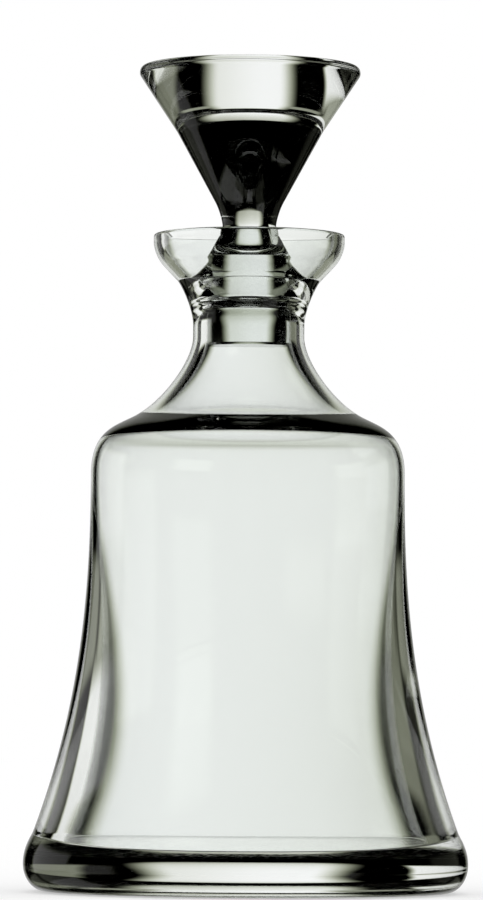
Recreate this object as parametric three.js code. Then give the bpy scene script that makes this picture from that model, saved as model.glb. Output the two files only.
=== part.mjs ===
// Glass decanter: a bell-shaped bottle with a flared lip, and a solid cone stopper that lifts out of it.
// Millimetres, +Z up. The origin is the middle of the foot, on the surface that the decanter stands on.
// Each piece is one body of glass turned about the Z axis from a profile of (radius, height) points.
import * as THREE from "three";

// Foot and heel of the bottle
const HEEL_RADIUS = 67.7; // widest point of the decanter
const HEEL_HEIGHT = 8.4; // height of that point
const HEEL_ROUND = 6.8; // how far the round under the heel draws in, down to the standing ring
const RING_WIDTH = 8; // flat ring that the bottle stands on
const KICK_DEPTH = 0.4; // shallow hollow under the base, inside the ring
const ROLL_RISE = 12.1; // roll over the top of the heel, up to the bell wall
const ROLL_INSET = 4.4;
const ROLL_PULL = [0.5, 0.15];

// Bell-shaped wall
const BODY_RADIUS = 47.9; // outside, where the wall stands upright below the shoulder
const BELL_RISE = 106.5;
const BELL_POWER = 2.4; // how late the wall starts to flare on its way down

// Shoulder and neck
const SHOULDER_RISE = 17.4;
const SHOULDER_INSET = 12.75;
const SHOULDER_SLOPE = 1.93; // run for each unit of rise where the shoulder becomes the neck
const SHOULDER_PULL = [0.6, 0.29];
const NECK_RISE = 24.6; // from there up to the narrowest place of the neck
const NECK_PULL = [0.35, 0.22];
const WAIST_LENGTH = 3.5; // upright stretch at that place

// Glass thickness, square to the outside
const BODY_WALL = 1.9; // below the shoulder
const FOOT_WALL = 10.4; // at the bottom of the bell wall
const FULL_WALL_DEPTH = 0.91; // share of the way down the bell wall at which the glass is that thick
const NECK_WALL = 4;
const WALL_TURN_START = 11; // from the foot of the shoulder up to where the glass thickens for the neck
const WALL_TURN_RISE = 8;

// Floor inside the bottle
const FLOOR_THICKNESS = 10.3; // at the middle, from the standing surface
const DISH_DEPTH = 3.5; // how much higher the floor lies at its edge
const CORNER_ROUND = 0.8; // between the floor and the wall
const CORNER_PULL = [0.55, 0.55];

// Flared lip, whose inside is the cone that the stopper sits on
const BORE_RADIUS = 13;
const LIP_RADIUS = 29.2;
const LIP_WALL = 3.1;
const LIP_RISE = 13.8; // from the neck up to the foot of the lip's cone
const LIP_PULL = [0.34, 0.12];
const LIP_CONE_RADIUS = 21.87; // outside, at that foot
const LIP_SLOPE = 0.95; // run for each unit of rise along the cone
const LIP_CONE_RISE = 4.2;
const LIP_TURN_RISE = 7.6; // from the top of the cone up to where the lip stands upright
const LIP_TURN_PULL = [0.5, 0.15];
const RIM_STRAIGHT = 1.65; // upright band under the rim
const RIM_ROUND = 0.7; // each edge of the flat rim
const THROAT_EASE = 1.2; // rounded edge between the seat cone and the bore
const THROAT_PULL = [0.4, 0.4];

// Stopper
const FIT_GAP = 0.3; // between the stopper and the glass around it
const PLUG_LENGTH = 15.85;
const PLUG_CHAMFER = 0.8;
const SKIRT_RADIUS = 17.5; // flared skirt that rests on the seat cone
const SKIRT_NOSE_RISE = 0.8;
const SKIRT_NOSE_PULL = [0.45, 0.45];
const SKIRT_SLOPE = 1.15; // run for each unit of rise at the edge of the skirt
const SKIRT_RISE = 5.75;
const SKIRT_PULL = [0.3, 0.15];
const TRUMPET_RADIUS = 12.4; // straight cone from the skirt up to the stem
const TRUMPET_SLOPE = 0.473;
const TRUMPET_RISE = 8;
const STEM_RADIUS = 8.2; // narrowest place
const STEM_RISE = 1.7; // from the cone up to that place
const STEM_PULL = [0.29, 0.34];
const ROOT_RADIUS = 10.5; // where the stem has widened into the lower cone
const ROOT_RISE = 7.6;
const ROOT_PULL = [0.21, 0.32];
const KINK_RADIUS = 22.25; // where the lower cone meets the wider upper cone
const LOWER_CONE_RISE = 21.5;
const UPPER_CONE_RISE = 16.9;
const HEAD_RADIUS = 33.8;
const HEAD_SIDE_INSET = 0.4; // from the end of the upper cone out to the widest point
const HEAD_SIDE_RISE = 1.2;
const HEAD_SIDE_PULL = [0.4, 0.4];
const HEAD_EDGE_RISE = 1.9; // rounded edge around the flat top
const HEAD_EDGE_INSET = 1.3;

// Facets
const TURN_STEPS = 48;
const LONG_STEPS = 8; // along a bell wall, a shoulder or a neck
const SHORT_STEPS = 5; // along a roll, a lip or a stem
const EDGE_STEPS = 3; // along a small rounded edge

// Heights that several surfaces share, from the standing surface up
const bellFootHeight = HEEL_HEIGHT + ROLL_RISE;
const shoulderHeight = bellFootHeight + BELL_RISE;
const wallTurnHeight = shoulderHeight + WALL_TURN_START;
const neckFootHeight = shoulderHeight + SHOULDER_RISE;
const waistFootHeight = neckFootHeight + NECK_RISE;
const waistHeight = waistFootHeight + WAIST_LENGTH;
const lipConeHeight = waistHeight + LIP_RISE;
const lipTurnHeight = lipConeHeight + LIP_CONE_RISE;
const rimRoundHeight = lipTurnHeight + LIP_TURN_RISE + RIM_STRAIGHT;
const seatLength = Math.hypot(LIP_SLOPE, 1); // along the seat cone, for each unit of rise
const throatHeight = lipConeHeight + (LIP_WALL * seatLength - LIP_CONE_RADIUS + BORE_RADIUS) / LIP_SLOPE;

// Radii that several surfaces share
const bellFootRadius = HEEL_RADIUS - ROLL_INSET;
const waistRadius = BORE_RADIUS + NECK_WALL;
const lipInnerRadius = LIP_RADIUS - LIP_WALL;

const at = (radius, height) => new THREE.Vector2(radius, height);

// Smooth curve that leaves one point in a given direction and arrives at another in a given direction.
// Each pull says how far the curve keeps to its end's direction, as a share of the straight distance.
function sweep(start, startDirection, end, endDirection, [startPull, endPull], steps) {
  const distance = start.distanceTo(end);
  const startHandle = startDirection.clone().setLength(distance * startPull).add(start);
  const endHandle = endDirection.clone().setLength(-distance * endPull).add(end);
  return new THREE.CubicBezierCurve(start, startHandle, endHandle, end).getPoints(steps);
}

// One outline from several stretches, with the point where two stretches meet kept once.
function joined(...stretches) {
  const points = [];
  for (const point of stretches.flat()) {
    const last = points.at(-1);
    if (!last || last.distanceTo(point) > Number.EPSILON) {
      points.push(point);
    }
  }
  return points;
}

const upright = at(0, 1);
const downright = at(0, -1);

// Bell wall from its foot up: the radius grows by a power of the depth below the shoulder.
function bellWall() {
  const points = [];
  for (let step = 0; step <= LONG_STEPS; step += 1) {
    const depth = 1 - step / LONG_STEPS;
    const radius = BODY_RADIUS + (bellFootRadius - BODY_RADIUS) * depth ** BELL_POWER;
    points.push(at(radius, shoulderHeight - depth * BELL_RISE));
  }
  return points;
}

// Outside of the hollow part from its foot up: the bell wall, the shoulder and the neck.
function wallOutside() {
  const shoulder = at(BODY_RADIUS, shoulderHeight);
  const neckFoot = at(BODY_RADIUS - SHOULDER_INSET, neckFootHeight);
  const neckFootDirection = at(-SHOULDER_SLOPE, 1);
  const waistFoot = at(waistRadius, waistFootHeight);
  return joined(
    bellWall(),
    sweep(shoulder, upright, neckFoot, neckFootDirection, SHOULDER_PULL, LONG_STEPS),
    sweep(neckFoot, neckFootDirection, waistFoot, upright, NECK_PULL, LONG_STEPS),
    [at(waistRadius, waistHeight)],
  );
}

// Glass thickness: thin below the shoulder, thicker by smooth steps down to the foot and up to the neck.
function wallAt(height) {
  const depth = (shoulderHeight - height) / BELL_RISE;
  const downShare = THREE.MathUtils.smoothstep(depth, 0, FULL_WALL_DEPTH);
  const upShare = THREE.MathUtils.smoothstep(height, wallTurnHeight, wallTurnHeight + WALL_TURN_RISE);
  return BODY_WALL + (FOOT_WALL - BODY_WALL) * downShare + (NECK_WALL - BODY_WALL) * upShare;
}

// Outline moved inwards, square to itself, by the thickness that a function gives for each height.
function inset(outline, thicknessAt) {
  return outline.map((point, index) => {
    const before = outline[Math.max(index - 1, 0)];
    const after = outline[Math.min(index + 1, outline.length - 1)];
    const along = after.clone().sub(before);
    return at(-along.y, along.x).setLength(thicknessAt(point.y)).add(point);
  });
}

// Underside and heel, from the axis out and up to the foot of the bell wall.
function bottleFoot(outside) {
  const ringOuterRadius = HEEL_RADIUS - HEEL_ROUND;
  const ringInnerRadius = ringOuterRadius - RING_WIDTH;
  const kickTop = at(0, KICK_DEPTH);
  const kickControl = at(ringInnerRadius / 2, KICK_DEPTH);
  const kickEnd = at(ringInnerRadius, 0);
  const heel = at(HEEL_RADIUS, HEEL_HEIGHT);
  const [bellFoot] = outside;
  const bellSlope = ((bellFootRadius - BODY_RADIUS) * BELL_POWER) / BELL_RISE;
  return joined(
    new THREE.QuadraticBezierCurve(kickTop, kickControl, kickEnd).getPoints(EDGE_STEPS),
    new THREE.EllipseCurve(ringOuterRadius, HEEL_HEIGHT, HEEL_ROUND, HEEL_HEIGHT, -Math.PI / 2, 0)
      .getPoints(SHORT_STEPS),
    sweep(heel, upright, bellFoot, at(-bellSlope, 1), ROLL_PULL, SHORT_STEPS),
  );
}

// Round of the rim about a centre at the given radius, between two angles.
function rimRound(centreRadius, startAngle, endAngle) {
  return new THREE.EllipseCurve(centreRadius, rimRoundHeight, RIM_ROUND, RIM_ROUND, startAngle, endAngle)
    .getPoints(EDGE_STEPS);
}

// Lip from the neck up the outside, over the rim and down the seat cone to the bore.
function bottleLip(outside) {
  const waist = outside.at(-1);
  const lipCone = at(LIP_CONE_RADIUS, lipConeHeight);
  const lipDirection = at(LIP_SLOPE, 1);
  const lipTurn = at(LIP_CONE_RADIUS + LIP_SLOPE * LIP_CONE_RISE, lipTurnHeight);
  const lipSide = at(LIP_RADIUS, lipTurnHeight + LIP_TURN_RISE);
  const lipWall = joined([lipCone], sweep(lipTurn, lipDirection, lipSide, upright, LIP_TURN_PULL, LONG_STEPS));
  const throatTop = at(BORE_RADIUS + THROAT_EASE * LIP_SLOPE, throatHeight + THROAT_EASE);
  const boreTop = at(BORE_RADIUS, throatHeight - THROAT_EASE);
  return joined(
    sweep(waist, upright, lipCone, lipDirection, LIP_PULL, LONG_STEPS),
    lipWall,
    rimRound(LIP_RADIUS - RIM_ROUND, 0, Math.PI / 2),
    rimRound(lipInnerRadius + RIM_ROUND, Math.PI / 2, Math.PI),
    inset(lipWall, () => LIP_WALL).toReversed(),
    sweep(throatTop, at(-LIP_SLOPE, -1), boreTop, downright, THROAT_PULL, EDGE_STEPS),
  );
}

// Floor: the inside of the wall runs on down to a small round, and the floor dips to its middle.
function bottleFloor([foot, next]) {
  const edgeHeight = FLOOR_THICKNESS + DISH_DEPTH;
  const run = foot.clone().sub(next);
  const cornerShare = (edgeHeight + CORNER_ROUND - foot.y) / run.y;
  const cornerStart = run.clone().multiplyScalar(cornerShare).add(foot);
  const floorRadius = cornerStart.x - CORNER_ROUND;
  const floorEdge = at(floorRadius, edgeHeight);
  const floorDirection = at(-floorRadius, -2 * DISH_DEPTH);
  const floorControl = at(floorRadius / 2, FLOOR_THICKNESS);
  const floorMiddle = at(0, FLOOR_THICKNESS);
  return joined(
    sweep(cornerStart, run, floorEdge, floorDirection, CORNER_PULL, EDGE_STEPS),
    new THREE.QuadraticBezierCurve(floorEdge, floorControl, floorMiddle).getPoints(SHORT_STEPS),
  );
}

function bottleProfile() {
  const outside = wallOutside();
  const inside = inset(outside, wallAt);
  return joined(
    bottleFoot(outside),
    outside,
    bottleLip(outside),
    inside.toReversed(),
    bottleFloor(inside),
  );
}

function stopperProfile() {
  const plugRadius = BORE_RADIUS - FIT_GAP;
  const plugEnd = throatHeight - PLUG_LENGTH;
  const undersideHeight = (radius) =>
    throatHeight + (radius - BORE_RADIUS + FIT_GAP * seatLength) / LIP_SLOPE;
  const plugTopHeight = undersideHeight(plugRadius);
  const noseStart = at(SKIRT_RADIUS, undersideHeight(SKIRT_RADIUS));
  const noseEnd = at(SKIRT_RADIUS, noseStart.y + SKIRT_NOSE_RISE);
  const skirtDirection = at(-SKIRT_SLOPE, 1);
  const trumpetFoot = at(TRUMPET_RADIUS, noseEnd.y + SKIRT_RISE);
  const trumpetDirection = at(-TRUMPET_SLOPE, 1);
  const trumpetTop = at(TRUMPET_RADIUS - TRUMPET_SLOPE * TRUMPET_RISE, trumpetFoot.y + TRUMPET_RISE);
  const stem = at(STEM_RADIUS, trumpetTop.y + STEM_RISE);
  const root = at(ROOT_RADIUS, stem.y + ROOT_RISE);
  const kink = at(KINK_RADIUS, root.y + LOWER_CONE_RISE);
  const lowerConeDirection = kink.clone().sub(root);
  const coneEnd = at(HEAD_RADIUS - HEAD_SIDE_INSET, kink.y + UPPER_CONE_RISE);
  const upperConeDirection = coneEnd.clone().sub(kink);
  const headSide = at(HEAD_RADIUS, coneEnd.y + HEAD_SIDE_RISE);
  return joined(
    [at(0, plugEnd), at(plugRadius - PLUG_CHAMFER, plugEnd), at(plugRadius, plugEnd + PLUG_CHAMFER)],
    [at(plugRadius, plugTopHeight)],
    sweep(noseStart, at(LIP_SLOPE, 1), noseEnd, skirtDirection, SKIRT_NOSE_PULL, EDGE_STEPS),
    sweep(noseEnd, skirtDirection, trumpetFoot, trumpetDirection, SKIRT_PULL, SHORT_STEPS),
    sweep(trumpetTop, trumpetDirection, stem, upright, STEM_PULL, EDGE_STEPS),
    sweep(stem, upright, root, lowerConeDirection, ROOT_PULL, SHORT_STEPS),
    [kink],
    sweep(coneEnd, upperConeDirection, headSide, upright, HEAD_SIDE_PULL, EDGE_STEPS),
    new THREE.EllipseCurve(
      HEAD_RADIUS - HEAD_EDGE_INSET, headSide.y, HEAD_EDGE_INSET, HEAD_EDGE_RISE, 0, Math.PI / 2,
    ).getPoints(SHORT_STEPS),
    [at(0, headSide.y + HEAD_EDGE_RISE)],
  );
}

const glass = new THREE.MeshStandardMaterial({
  color: 0xe3eae4,
  roughness: 0.03,
  metalness: 0,
  transparent: true,
  opacity: 0.35,
});

// Solid turned about Z from a profile that starts and ends on the axis, underside first.
function turned(name, profile) {
  const geometry = new THREE.LatheGeometry(profile, TURN_STEPS).rotateX(Math.PI / 2);
  const mesh = new THREE.Mesh(geometry, glass);
  mesh.name = name;
  return mesh;
}

const decanter = new THREE.Group();
decanter.add(turned("bottle", bottleProfile()));
decanter.add(turned("stopper", stopperProfile()));

export default decanter;
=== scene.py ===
# Glass decanter with a solid glass stopper: its fine surfaces, glass, studio and camera
import math

import bpy
import numpy as np
from mathutils import Matrix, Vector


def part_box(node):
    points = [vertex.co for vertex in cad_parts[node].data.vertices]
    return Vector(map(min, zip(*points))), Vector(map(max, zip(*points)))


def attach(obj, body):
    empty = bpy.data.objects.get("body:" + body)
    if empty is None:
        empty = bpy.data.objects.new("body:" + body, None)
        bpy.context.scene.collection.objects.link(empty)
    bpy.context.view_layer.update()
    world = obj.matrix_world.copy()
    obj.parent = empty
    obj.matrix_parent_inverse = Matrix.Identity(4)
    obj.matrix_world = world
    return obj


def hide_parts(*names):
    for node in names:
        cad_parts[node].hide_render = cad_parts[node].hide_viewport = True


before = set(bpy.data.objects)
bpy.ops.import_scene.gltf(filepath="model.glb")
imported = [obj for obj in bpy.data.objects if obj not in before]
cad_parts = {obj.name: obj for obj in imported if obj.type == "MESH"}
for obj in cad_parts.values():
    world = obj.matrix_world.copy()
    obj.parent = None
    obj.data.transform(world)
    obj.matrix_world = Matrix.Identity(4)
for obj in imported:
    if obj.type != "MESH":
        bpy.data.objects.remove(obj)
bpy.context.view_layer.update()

# Sizes of the glass are in millimetres. A slope is the change of radius over the change of height.
# A pull gives the lengths of a curve's two handles, as shares of the distance between its ends.
MM = 0.001

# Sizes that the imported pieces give
bottle_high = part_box("bottle")[1]
stopper_low, stopper_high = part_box("stopper")
HEEL_RADIUS = bottle_high.x / MM
PLUG_END = stopper_low.z / MM
HEAD_RADIUS = stopper_high.x / MM
HEAD_HEIGHT = stopper_high.z / MM

# Foot and heel of the bottle
HEEL_HEIGHT = 8.4
HEEL_ROUND = 6.8
RING_WIDTH = 8.0
KICK_DEPTH = 0.4
ROLL_RISE = 9.8
ROLL_INSET = 3.1
ROLL_PULL = (0.5, 0.15)

# Bell-shaped wall, shoulder and neck
BODY_RADIUS = 47.9
BELL_RISE = 108.8
BELL_POWER = 2.4
BODY_WALL = 1.6
FOOT_WALL = 10.4
FULL_WALL_SHARE = 0.91
SHOULDER_RISE = 17.4
SHOULDER_INSET = 12.75
SHOULDER_SLOPE = 1.93
SHOULDER_PULL = (0.6, 0.29)
NECK_RISE = 24.6
NECK_PULL = (0.35, 0.22)
WAIST_LENGTH = 3.5
NECK_WALL = 4.0
WALL_TURN_START = 11.0
WALL_TURN_RISE = 8.0

# Floor inside
FLOOR_HEIGHT = 11.4
FLOOR_EDGE_HEIGHT = 11.9
CORNER_ROUND = 0.8
CORNER_PULL = (0.6, 0.6)

# Lip, seat and bore
BORE_RADIUS = 13.0
LIP_RADIUS = 29.2
LIP_WALL = 3.1
LIP_RISE = 13.8
LIP_PULL = (0.34, 0.12)
LIP_CONE_RADIUS = 21.87
LIP_SLOPE = 0.95
LIP_CONE_RISE = 4.2
LIP_TURN_RISE = 7.6
LIP_TURN_PULL = (0.5, 0.15)
RIM_STRAIGHT = 1.65
RIM_ROUND = 0.7
THROAT_EASE = 0.5
THROAT_DROP = 4.4
THROAT_PULL = (0.4, 0.4)

# Stopper
FIT_GAP = 0.3
PLUG_CHAMFER = 0.8
SKIRT_RADIUS = 17.5
NOSE_RISE = 0.8
NOSE_PULL = (0.45, 0.45)
SKIRT_SLOPE = 1.15
SKIRT_RISE = 5.75
SKIRT_PULL = (0.3, 0.15)
TRUMPET_RADIUS = 12.4
TRUMPET_SLOPE = 0.473
TRUMPET_RISE = 8.0
STEM_RADIUS = 8.2
STEM_RISE = 1.7
STEM_PULL = (0.29, 0.34)
ROOT_RADIUS = 10.5
ROOT_RISE = 7.6
ROOT_PULL = (0.21, 0.32)
KINK_RADIUS = 22.25
UPPER_CONE_RISE = 16.9
HEAD_SIDE_INSET = 0.4
HEAD_SIDE_RISE = 1.2
HEAD_SIDE_PULL = (0.4, 0.4)
HEAD_EDGE_RISE = 1.9
HEAD_EDGE_INSET = 1.3

# Steps round the axis, the angle past which an edge is sharp, and the distance within which points are one
TURNS = 180
CREASE = math.radians(20)
SAME_POINT = 1e-6

UP = (0, 1)
DOWN = (0, -1)
QUARTER_TURN = math.pi / 2
HALF_TURN = math.pi

# Heights and radii that several surfaces share
bell_foot_height = HEEL_HEIGHT + ROLL_RISE
bell_foot_radius = HEEL_RADIUS - ROLL_INSET
shoulder_height = bell_foot_height + BELL_RISE
wall_turn_height = shoulder_height + WALL_TURN_START
neck_foot_height = shoulder_height + SHOULDER_RISE
waist_low_height = neck_foot_height + NECK_RISE
waist_height = waist_low_height + WAIST_LENGTH
waist_radius = BORE_RADIUS + NECK_WALL
lip_cone_height = waist_height + LIP_RISE
lip_turn_height = lip_cone_height + LIP_CONE_RISE
rim_centre_height = lip_turn_height + LIP_TURN_RISE + RIM_STRAIGHT
seat_length = math.hypot(LIP_SLOPE, 1)
throat_height = lip_cone_height + (LIP_WALL * seat_length - LIP_CONE_RADIUS + BORE_RADIUS) / LIP_SLOPE


def smooth_step(value, low, high):
    """0 below low, 1 above high, and 3t^2 - 2t^3 of the share t of the way between."""
    share = np.clip((value - low) / (high - low), 0, 1)
    return share * share * (3 - 2 * share)


def sweep(start, start_direction, end, end_direction, pulls, steps=28):
    """Cubic curve between two points: each handle lies along its end's direction, a pull of the span away."""
    start, end = np.array(start, float), np.array(end, float)
    leave, arrive = np.array(start_direction, float), np.array(end_direction, float)
    span = np.hypot(*(end - start))
    first = start + leave / np.hypot(*leave) * span * pulls[0]
    second = end - arrive / np.hypot(*arrive) * span * pulls[1]
    t = np.linspace(0, 1, steps)[:, None]
    ends = start * (1 - t) ** 3 + end * t ** 3
    return ends + 3 * first * t * (1 - t) ** 2 + 3 * second * t * t * (1 - t)


def line(start, end, steps=8):
    """Straight stretch in equal steps."""
    t = np.linspace(0, 1, steps)[:, None]
    return np.array(start, float) * (1 - t) + np.array(end, float) * t


def arc(centre, radii, start, end, steps):
    """Stretch of an ellipse about a centre, between two angles."""
    angle = np.linspace(start, end, steps)
    return np.stack([centre[0] + radii[0] * np.cos(angle), centre[1] + radii[1] * np.sin(angle)], 1)


def dish(radius, middle_height, edge_height, steps):
    """Stretch from the axis to a radius, whose height changes with the square of the share of the way."""
    share = np.linspace(0, 1, steps)
    return np.stack([share * radius, middle_height + (edge_height - middle_height) * share ** 2], 1)


def joined(*stretches):
    """One outline from several stretches, with the point where two meet kept once."""
    points = np.concatenate(stretches)
    apart = np.hypot(*np.diff(points, axis=0).T) > SAME_POINT
    return points[np.r_[True, apart]]


def inset(points, thickness):
    """Outline moved inwards, square to itself, by a thickness or by one for each point."""
    along = np.gradient(points, axis=0)
    along /= np.hypot(*along.T)[:, None]
    inwards = np.stack([-along[:, 1], along[:, 0]], 1)
    return points + inwards * np.broadcast_to(thickness, len(points))[:, None]


def bell_outside(steps=56):
    """Bell wall from its foot up: the radius grows by a power of the depth below the shoulder."""
    depth = np.linspace(1, 0, steps)
    radius = BODY_RADIUS + (bell_foot_radius - BODY_RADIUS) * depth ** BELL_POWER
    return np.stack([radius, shoulder_height - depth * BELL_RISE], 1)


def wall_at(height):
    """Glass thickness: even in the neck and the upper body, and thicker by a smooth step down to the foot."""
    depth = (shoulder_height - height) / BELL_RISE
    to_foot = smooth_step(depth, 0, FULL_WALL_SHARE)
    to_neck = smooth_step(height, wall_turn_height, wall_turn_height + WALL_TURN_RISE)
    return BODY_WALL + (FOOT_WALL - BODY_WALL) * to_foot + (NECK_WALL - BODY_WALL) * to_neck


def foot_outside():
    """Outline from the axis underneath, over the standing ring and round the heel, to the bell's foot."""
    ring_outside = HEEL_RADIUS - HEEL_ROUND
    ring_inside = ring_outside - RING_WIDTH
    heel = (HEEL_RADIUS, HEEL_HEIGHT)
    bell = bell_outside()
    return joined(
        dish(ring_inside, KICK_DEPTH, 0, steps=16),
        line((ring_inside, 0), (ring_outside, 0)),
        arc((ring_outside, HEEL_HEIGHT), (HEEL_ROUND, HEEL_HEIGHT), -QUARTER_TURN, 0, steps=24),
        sweep(heel, UP, bell[0], bell[1] - bell[0], ROLL_PULL),
    )


def body_outside():
    """Outline of the bell, the shoulder and the neck, up to the top of the waist."""
    bell = bell_outside()
    neck_foot = (BODY_RADIUS - SHOULDER_INSET, neck_foot_height)
    neck_direction = (-SHOULDER_SLOPE, 1)
    waist_low = (waist_radius, waist_low_height)
    return joined(
        bell,
        sweep(bell[-1], UP, neck_foot, neck_direction, SHOULDER_PULL, steps=48),
        sweep(neck_foot, neck_direction, waist_low, UP, NECK_PULL, steps=40),
        line(waist_low, (waist_radius, waist_height), steps=5),
    )


def lip_both_sides():
    """Outline up the outside of the lip, over its rim, and down its even wall and the throat to the bore."""
    lip_cone = (LIP_CONE_RADIUS, lip_cone_height)
    lip_turn = (LIP_CONE_RADIUS + LIP_SLOPE * LIP_CONE_RISE, lip_turn_height)
    lip_side = (LIP_RADIUS, lip_turn_height + LIP_TURN_RISE)
    lip_direction = (LIP_SLOPE, 1)
    rim_outer = (LIP_RADIUS - RIM_ROUND, rim_centre_height)
    rim_inner = (LIP_RADIUS - LIP_WALL + RIM_ROUND, rim_centre_height)
    rim_radii = (RIM_ROUND, RIM_ROUND)
    throat_top = (BORE_RADIUS + THROAT_EASE * LIP_SLOPE, throat_height + THROAT_EASE)
    throat_end = (BORE_RADIUS, throat_height - THROAT_DROP)
    wall = joined(
        line(lip_cone, lip_turn),
        sweep(lip_turn, lip_direction, lip_side, UP, LIP_TURN_PULL),
    )
    return joined(
        sweep((waist_radius, waist_height), UP, lip_cone, lip_direction, LIP_PULL),
        wall,
        arc(rim_outer, rim_radii, 0, QUARTER_TURN, steps=12),
        arc(rim_inner, rim_radii, QUARTER_TURN, HALF_TURN, steps=12),
        inset(wall, LIP_WALL)[::-1],
        sweep(throat_top, (-LIP_SLOPE, -1), throat_end, DOWN, THROAT_PULL, steps=16),
    )


def floor_inside(wall):
    """Outline from the foot of the inner wall, round the corner and over the dished floor to the axis."""
    wall_foot = wall[-1]
    run = (wall[-1] - wall[-2]) / (wall[-2, 1] - wall[-1, 1])
    corner_start = wall_foot + run * (wall_foot[1] - FLOOR_EDGE_HEIGHT - CORNER_ROUND)
    floor_radius = corner_start[0] - CORNER_ROUND
    floor_slope = 2 * (FLOOR_EDGE_HEIGHT - FLOOR_HEIGHT) / floor_radius
    floor_edge = (floor_radius, FLOOR_EDGE_HEIGHT)
    return joined(
        sweep(corner_start, run, floor_edge, (-1, -floor_slope), CORNER_PULL, steps=10),
        dish(floor_radius, FLOOR_HEIGHT, FLOOR_EDGE_HEIGHT, steps=24)[::-1],
    )


def bottle_profile():
    """Outline of the bottle's glass from the axis underneath, up the outside and down the inside."""
    body = body_outside()
    wall = inset(body, wall_at(body[:, 1]))[::-1]
    return joined(foot_outside(), body, lip_both_sides(), wall, floor_inside(wall))


def seat_height(radius):
    """Height of the stopper's seat at a radius: the lip's cone, moved in by the gap square to itself."""
    return throat_height + (radius - BORE_RADIUS + FIT_GAP * seat_length) / LIP_SLOPE


def stopper_profile():
    """Outline of the stopper from the axis under its plug, up the outside to the middle of its flat top."""
    plug_radius = BORE_RADIUS - FIT_GAP
    plug_floor = (plug_radius - PLUG_CHAMFER, PLUG_END)
    plug_low = (plug_radius, PLUG_END + PLUG_CHAMFER)
    plug_high = (plug_radius, seat_height(plug_radius))
    nose = (SKIRT_RADIUS, seat_height(SKIRT_RADIUS))
    skirt = (SKIRT_RADIUS, nose[1] + NOSE_RISE)
    skirt_direction = (-SKIRT_SLOPE, 1)
    trumpet_foot = (TRUMPET_RADIUS, skirt[1] + SKIRT_RISE)
    trumpet_direction = (-TRUMPET_SLOPE, 1)
    trumpet_top = (TRUMPET_RADIUS - TRUMPET_SLOPE * TRUMPET_RISE, trumpet_foot[1] + TRUMPET_RISE)
    stem = (STEM_RADIUS, trumpet_top[1] + STEM_RISE)
    root = np.array([ROOT_RADIUS, stem[1] + ROOT_RISE])
    head_side = (HEAD_RADIUS, HEAD_HEIGHT - HEAD_EDGE_RISE)
    cone_end = np.array([HEAD_RADIUS - HEAD_SIDE_INSET, head_side[1] - HEAD_SIDE_RISE])
    kink = np.array([KINK_RADIUS, cone_end[1] - UPPER_CONE_RISE])
    edge_centre = (HEAD_RADIUS - HEAD_EDGE_INSET, head_side[1])
    edge_radii = (HEAD_EDGE_INSET, HEAD_EDGE_RISE)
    return joined(
        line((0, PLUG_END), plug_floor),
        line(plug_floor, plug_low, steps=4),
        line(plug_low, plug_high, steps=12),
        line(plug_high, nose),
        sweep(nose, (LIP_SLOPE, 1), skirt, skirt_direction, NOSE_PULL, steps=12),
        sweep(skirt, skirt_direction, trumpet_foot, trumpet_direction, SKIRT_PULL, steps=24),
        line(trumpet_foot, trumpet_top, steps=10),
        sweep(trumpet_top, trumpet_direction, stem, UP, STEM_PULL, steps=16),
        sweep(stem, UP, root, kink - root, ROOT_PULL, steps=24),
        line(root, kink, steps=20),
        line(kink, cone_end, steps=20),
        sweep(cone_end, cone_end - kink, head_side, UP, HEAD_SIDE_PULL, steps=10),
        arc(edge_centre, edge_radii, 0, QUARTER_TURN, steps=14),
        line((HEAD_RADIUS - HEAD_EDGE_INSET, HEAD_HEIGHT), (0, HEAD_HEIGHT), steps=12),
    )


def turned(name, profile, material):
    """Closed solid of revolution: a profile point (r, z) goes to (r cos a, r sin a, z) for each angle a."""
    ring = profile[1:-1] * MM
    angle = np.linspace(0, 2 * math.pi, TURNS, endpoint=False)
    across = ring[:, :1]
    height = np.repeat(ring[:, 1:], TURNS, 1)
    grid = np.stack([across * np.cos(angle), across * np.sin(angle), height], 2).reshape(-1, 3)
    poles = np.array([[0, 0, profile[0, 1]], [0, 0, profile[-1, 1]]]) * MM
    here = np.arange(TURNS)
    after = np.roll(here, -1)
    low = np.arange(len(ring) - 1)[:, None] * TURNS
    high = low + TURNS
    last = (len(ring) - 1) * TURNS
    quads = np.stack([low + here, low + after, high + after, high + here], 2).reshape(-1, 4)
    under = np.stack([np.full(TURNS, len(grid)), after, here], 1)
    over = np.stack([np.full(TURNS, len(grid) + 1), last + here, last + after], 1)
    faces = [*quads.tolist(), *under.tolist(), *over.tolist()]
    mesh = bpy.data.meshes.new(name)
    mesh.from_pydata(np.concatenate([grid, poles]), [], faces)
    mesh.polygons.foreach_set("use_smooth", np.ones(len(mesh.polygons), bool))
    mesh.set_sharp_from_angle(angle=CREASE)
    mesh.materials.append(material)
    piece = bpy.data.objects.new(name, mesh)
    bpy.context.scene.collection.objects.link(piece)
    return piece


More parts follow.
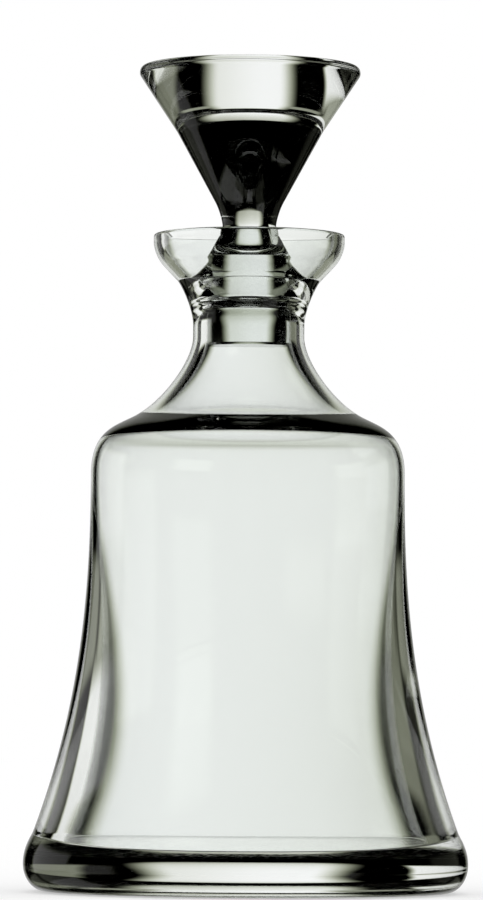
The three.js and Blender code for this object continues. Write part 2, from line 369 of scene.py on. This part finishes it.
class Socket:
    """An output of a shader node. Arithmetic on it adds Math nodes to its tree."""

    def __init__(self, tree, output):
        self.tree = tree
        self.output = output

    def __add__(self, other):
        return self.tree.math("ADD", self, other)

    def __sub__(self, other):
        return self.tree.math("SUBTRACT", self, other)

    def __rsub__(self, other):
        return self.tree.math("SUBTRACT", other, self)

    def __mul__(self, other):
        return self.tree.math("MULTIPLY", self, other)

    __radd__ = __add__
    __rmul__ = __mul__

    def or_more(self, other):
        """The larger of two values."""
        return self.tree.math("MAXIMUM", self, other)

    def step(self, low, high):
        """0 below low, 1 above high, smooth between."""
        sockets = {"Value": self, "From Min": low, "From Max": high}
        return self.tree.node("MapRange", {"interpolation_type": "SMOOTHSTEP"}, sockets)["Result"]

    def between(self, low, high, soft):
        """1 from low to high, with both edges soft by that much each way."""
        return self.step(low - soft, low + soft) * (1 - self.step(high - soft, high + soft))


class ShaderTree:
    """The shader nodes of a material or a world, empty at first."""

    def __init__(self, owner):
        owner.use_nodes = True
        self.nodes = owner.node_tree.nodes
        self.links = owner.node_tree.links
        self.nodes.clear()

    def node(self, kind, settings=None, sockets=None):
        """Adds a node: first its settings, then its sockets' values or links. Gives its outputs by name."""
        made = self.nodes.new("ShaderNode" + kind)
        for name, value in (settings or {}).items():
            setattr(made, name, value)
        by_place = [slot for slot in made.inputs if slot.enabled]
        by_name = {slot.name: slot for slot in by_place}
        for name, value in (sockets or {}).items():
            slot = by_place[name] if isinstance(name, int) else by_name[name]
            if isinstance(value, Socket):
                self.links.new(value.output, slot)
            else:
                slot.default_value = value
        return {output.name: Socket(self, output) for output in made.outputs if output.enabled}

    def math(self, operation, *operands):
        """One Math node on values or sockets."""
        return self.node("Math", {"operation": operation}, dict(enumerate(operands)))["Value"]


# Glass: faint tint in two shades, faint waves, rubbed spots on the standing ring; lengths in metres
GLASS_IOR = 1.52
GLASS_TINT = (0.981, 1.0, 0.988, 1)
GLASS_TINT_DEEP = (0.97, 0.992, 0.976, 1)
TINT_SCALE = 14.0
TINT_DETAIL = 2.0
WAVE_SCALE = 30.0
WAVE_DETAIL = 1.0
WAVE_STRENGTH = 0.02
WAVE_DEPTH = 0.0004
WEAR_SCALE = 900.0
WEAR_DETAIL = 3.0
WEAR_HEIGHT = 0.0006
WEAR_SPOTS = (0.45, 0.65)
WEAR_ROUGHNESS = 0.3


def decanter_glass(name, foot_wear):
    """Clear glass with a faint green tint in two shades, faint waves, and rubbed spots where it stands."""
    material = bpy.data.materials.new(name)
    tree = ShaderTree(material)
    place = tree.node("TexCoord")["Object"]

    def noise(scale, detail):
        return tree.node("TexNoise", sockets={"Vector": place, "Scale": scale, "Detail": detail})["Fac"]

    shades = {"Factor": noise(TINT_SCALE, TINT_DETAIL), "A": GLASS_TINT, "B": GLASS_TINT_DEEP}
    waves = {"Height": noise(WAVE_SCALE, WAVE_DETAIL), "Strength": WAVE_STRENGTH, "Distance": WAVE_DEPTH}
    sockets = {
        "Base Color": tree.node("Mix", {"data_type": "RGBA"}, shades)["Result"],
        "Roughness": 0.0,
        "IOR": GLASS_IOR,
        "Transmission Weight": 1.0,
        "Normal": tree.node("Bump", sockets=waves)["Normal"],
    }
    if foot_wear:
        height = tree.node("SeparateXYZ", sockets={"Vector": place})["Z"]
        spots = noise(WEAR_SCALE, WEAR_DETAIL).step(*WEAR_SPOTS)
        sockets["Roughness"] = (1 - height.step(0.0, WEAR_HEIGHT)) * spots * WEAR_ROUGHNESS
    shader = tree.node("BsdfPrincipled", sockets=sockets)["BSDF"]
    tree.node("OutputMaterial", sockets={"Surface": shader})
    return material


# Studio in degrees: azimuth 0 is straight behind the decanter and grows to the right, elevation grows upwards
TO_DEGREES = math.degrees(1)

# Backdrop: azimuth from, to and softness, elevation from, to and softness
BACKDROP = (-15, 15.8, 4.3, -31, 42, 3)
BACKDROP_LEVEL = 1.0

# Backdrop's loss of light upwards and to the right, its widening upwards, and from where to where each grows
BACKDROP_FALL = 0.4
BACKDROP_FALL_SPAN = (0, 34)
BACKDROP_SHADE = 0.15
BACKDROP_SHADE_SPAN = (-6, 17)
BACKDROP_SPREAD = 0.22
BACKDROP_SPREAD_SPAN = (-10, 20)

# Panels: azimuth from, to and softness, elevation from, to and softness, level
PANELS = {
    "left": (-75, -36.5, 2, -9.5, 15, 3, 0.95),
    "right": (36, 68, 3, -12, 11, 3, 0.2),
    "low_behind": (-36, 34, 3, -24, -10.5, 1.3, 0.3),
    "low_left": (-75, -40, 3, -24, -8, 3, 0.4),
    "lowest_left": (-75, -40, 3, -46, -23, 3, 0.92),
    "low_right": (40, 75, 3, -22, -8, 3, 0.2),
    "far_left": (-107, -73, 4, -18, 2, 2, 0.8),
    "front_right": (119, 151, 4.5, -36, -10, 2, 0.8),
}

# Share of the studio's light that the outside of the glass mirrors
MIRROR_LEVEL = 0.45

# Colour of the studio where it is dark and where it is bright
DIM_COLOUR = (0.94, 1.0, 0.7, 1)
FULL_COLOUR = (1, 1, 1, 1)


def studio_light(azimuth, elevation):
    """Brightness of the studio in a direction: the brightest of its backdrop and its panels there."""
    low, high, soft, bottom, top, edge = BACKDROP
    fall = BACKDROP_FALL * elevation.step(*BACKDROP_FALL_SPAN)
    shade = BACKDROP_SHADE * azimuth.step(*BACKDROP_SHADE_SPAN)
    spread = azimuth * (1 - BACKDROP_SPREAD * elevation.step(*BACKDROP_SPREAD_SPAN))
    backdrop = spread.between(low, high, soft) * elevation.between(bottom, top, edge)
    light = backdrop * (BACKDROP_LEVEL - fall - shade)
    for low, high, soft, bottom, top, edge, level in PANELS.values():
        panel = azimuth.between(low, high, soft) * elevation.between(bottom, top, edge)
        light = light.or_more(panel * level)
    return light


def studio_world():
    """White to the camera, even for the floor, and for the glass a backdrop and panels with dark gaps."""
    world = bpy.data.worlds.new("studio")
    tree = ShaderTree(world)
    direction = tree.node("TexCoord")["Generated"]
    along = tree.node("SeparateXYZ", sockets={"Vector": direction})
    azimuth = tree.math("ARCTAN2", along["X"], along["Y"]) * TO_DEGREES
    elevation = tree.math("ARCSINE", along["Z"]) * TO_DEGREES
    light = studio_light(azimuth, elevation)
    ray = tree.node("LightPath")
    camera = ray["Is Camera Ray"]
    mirrored = ray["Is Glossy Ray"]
    through = ray["Is Transmission Ray"]
    in_glass = through * light + (1 - through) * mirrored * light * MIRROR_LEVEL
    plain = (1 - through) * (1 - mirrored)
    strength = camera + (1 - camera) * (in_glass + plain)
    full = light.or_more(camera).or_more(plain)
    colours = {"Factor": full, "A": DIM_COLOUR, "B": FULL_COLOUR}
    colour = tree.node("Mix", {"data_type": "RGBA"}, colours)["Result"]
    shader = tree.node("Background", sockets={"Color": colour, "Strength": strength})["Background"]
    tree.node("OutputWorld", sockets={"Surface": shader})
    bpy.context.scene.world = world


# Floor: how far it reaches each way and lies below the foot, in metres, and the share of light it gives back
FLOOR_REACH = 6.0
FLOOR_DROP = 0.0003
FLOOR_ALBEDO = 0.5


def pale_floor():
    """Pale floor: the light on it carries the soft shadow, and a glow for the camera makes it white."""
    low, high = -FLOOR_REACH, FLOOR_REACH
    corners = [(low, low), (high, low), (high, high), (low, high)]
    mesh = bpy.data.meshes.new("floor")
    mesh.from_pydata([(x, y, -FLOOR_DROP) for x, y in corners], [], [(0, 1, 2, 3)])
    material = bpy.data.materials.new("pale_floor")
    tree = ShaderTree(material)
    albedo = (FLOOR_ALBEDO, FLOOR_ALBEDO, FLOOR_ALBEDO, 1)
    lit = tree.node("BsdfDiffuse", sockets={"Color": albedo})["BSDF"]
    camera = tree.node("LightPath")["Is Camera Ray"]
    glow = tree.node("Emission", sockets={"Strength": camera * (1 - FLOOR_ALBEDO)})["Emission"]
    both = tree.node("AddShader", sockets={0: lit, 1: glow})["Shader"]
    tree.node("OutputMaterial", sockets={"Surface": both})
    mesh.materials.append(material)
    floor = bpy.data.objects.new("floor", mesh)
    bpy.context.scene.collection.objects.link(floor)
    # The glass shows the studio below the horizon in place of the floor
    floor.visible_transmission = False
    floor.visible_glossy = False


# Camera: focal length, horizon and axis in pixels of the photograph, place in metres, sensor in millimetres
PHOTO_WIDTH = 483
PHOTO_HEIGHT = 900
FOCAL = 5500
HORIZON = 726.5
AXIS_COLUMN = 248.0
EYE_HEIGHT = 0.0502
DISTANCE = 1.6775
CAMERA_ROLL = math.radians(0.35)
SENSOR = 36.0


def photo_camera():
    """Camera in front of the decanter, tilted and turned to put the horizon and the axis on their pixels."""
    data = bpy.data.cameras.new("camera")
    data.sensor_width = SENSOR
    data.lens = FOCAL / PHOTO_HEIGHT * SENSOR
    tilt = math.atan((HORIZON - PHOTO_HEIGHT / 2) / FOCAL)
    aside = math.atan((AXIS_COLUMN - PHOTO_WIDTH / 2) / FOCAL)
    place = Matrix.Translation((0, -DISTANCE, EYE_HEIGHT))
    aimed = Matrix.Rotation(aside, 4, "Z") @ Matrix.Rotation(QUARTER_TURN + tilt, 4, "X")
    camera = bpy.data.objects.new("camera", data)
    camera.matrix_world = place @ aimed @ Matrix.Rotation(CAMERA_ROLL, 4, "Z")
    bpy.context.scene.collection.objects.link(camera)
    bpy.context.scene.camera = camera


photo_camera()
studio_world()
pale_floor()

bottle_clear_glass = decanter_glass("bottle_clear_glass", foot_wear=True)
bottle = turned("bottle_glass_body", bottle_profile(), bottle_clear_glass)
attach(bottle, "bottle")
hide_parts("bottle")

stopper_clear_glass = decanter_glass("stopper_clear_glass", foot_wear=False)
stopper = turned("stopper_glass_body", stopper_profile(), stopper_clear_glass)
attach(stopper, "stopper")
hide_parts("stopper")

# Paths with more bounces than this end dark, which keeps the shoulder's dark band even
BOUNCES = 9
scene = bpy.context.scene
scene.view_settings.view_transform = "Standard"
scene.cycles.max_bounces = BOUNCES
scene.cycles.transmission_bounces = BOUNCES
scene.cycles.glossy_bounces = BOUNCES
